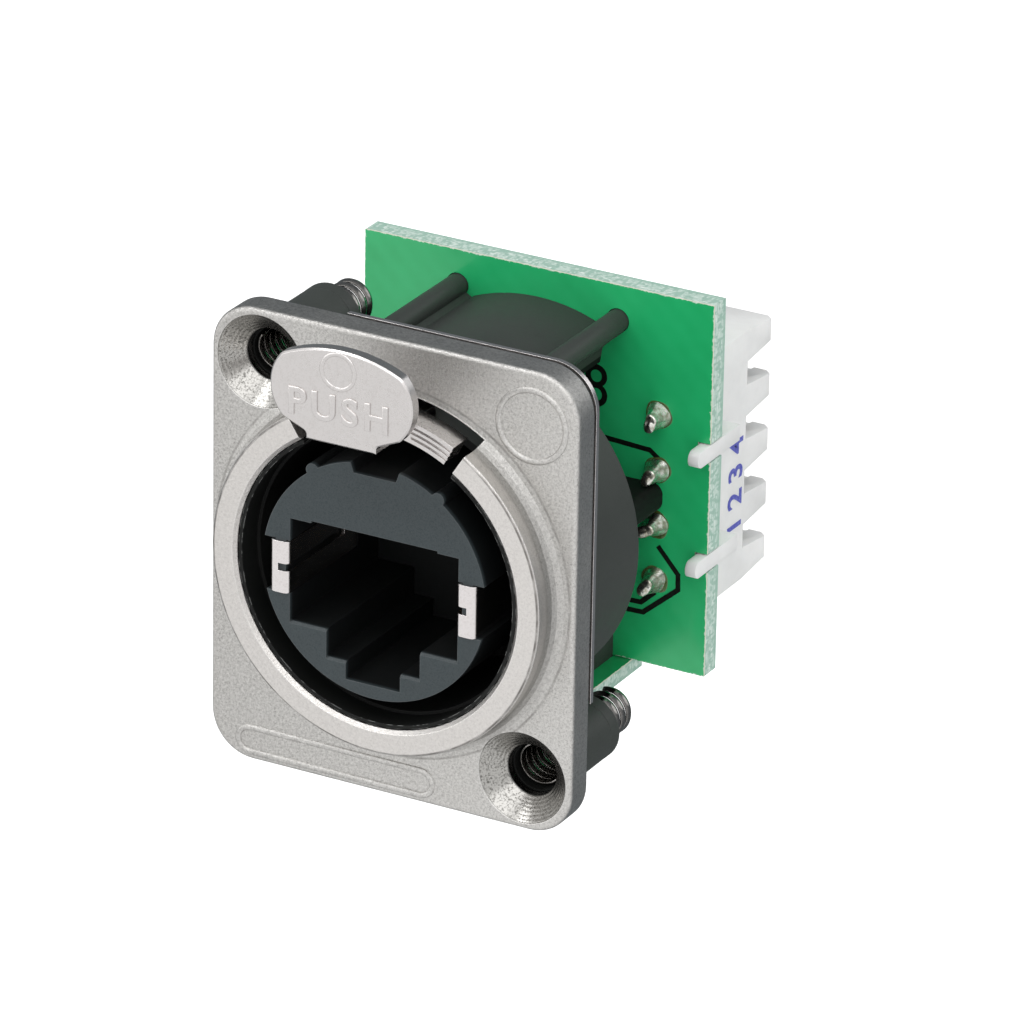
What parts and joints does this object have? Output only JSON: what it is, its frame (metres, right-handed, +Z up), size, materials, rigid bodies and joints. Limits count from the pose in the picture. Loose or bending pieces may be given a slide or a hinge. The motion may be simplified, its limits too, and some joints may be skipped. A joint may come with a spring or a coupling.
{
  "type": "ethernet panel receptacle",
  "caption": "Flanged ethernet socket for a panel, with a push latch in its raised ring, spring contacts inside, a board across the back and punch-down wire slots.",
  "frame": {"origin": "centre of the flange's front face, on the axis of the raised ring", "axes": "+X to the right as seen from the front, +Y back through the panel, +Z up towards the latch"},
  "size_m": [0.026, 0.0376, 0.0325],
  "materials": {
    "nickel_casting": "satin nickel plate over a fine-grained casting",
    "bright_sheet": "bright plated sheet",
    "black_plastic": "satin moulded black",
    "nickel_latch": "satin nickel plate, smoother than the flange",
    "spring_wire": "drawn wire",
    "dark_plastic": "satin moulded dark grey",
    "coil_wire": "bright rolled wire",
    "green_laminate": "glossy green mask over glass laminate",
    "white_plastic": "slightly translucent moulded white",
    "solder": "bright solder with a thin flux ring",
    "gold_contact": "gold plate on spring bronze",
    "tinned_contact": "tin plate on bronze"
  },
  "bodies": {
    "frame": {"flange_shell": "nickel_casting", "ground_plate": "bright_sheet", "barrel_housing": "black_plastic", "jack_insert": "dark_plastic", "shield_tab_left": "bright_sheet", "shield_tab_right": "bright_sheet", "thread_coil_upper": "coil_wire", "thread_coil_lower": "coil_wire", "main_board": "green_laminate", "lower_board": "green_laminate", "idc_block_left": "white_plastic", "idc_block_right": "white_plastic", "solder_joints": "solder", "jack_contact_1": "gold_contact", "jack_contact_2": "gold_contact", "jack_contact_3": "gold_contact", "jack_contact_4": "gold_contact", "jack_contact_5": "gold_contact", "jack_contact_6": "gold_contact", "jack_contact_7": "gold_contact", "jack_contact_8": "gold_contact", "idc_contact_1": "tinned_contact", "idc_contact_2": "tinned_contact", "idc_contact_3": "tinned_contact", "idc_contact_4": "tinned_contact", "idc_contact_5": "tinned_contact", "idc_contact_6": "tinned_contact", "idc_contact_7": "tinned_contact", "idc_contact_8": "tinned_contact"},
    "latch": {"push_latch": "nickel_latch", "latch_spring": "spring_wire"}
  },
  "joints": [
    {"name": "latch_push", "type": "slide", "parent": "frame", "child": "latch", "axis": [0, 0.9781, 0.2079], "range_m": [0, 0.0014], "stiffness_N_per_m": 300, "springref_m": -0.002, "deforming": ["latch_spring"]}
  ]
}
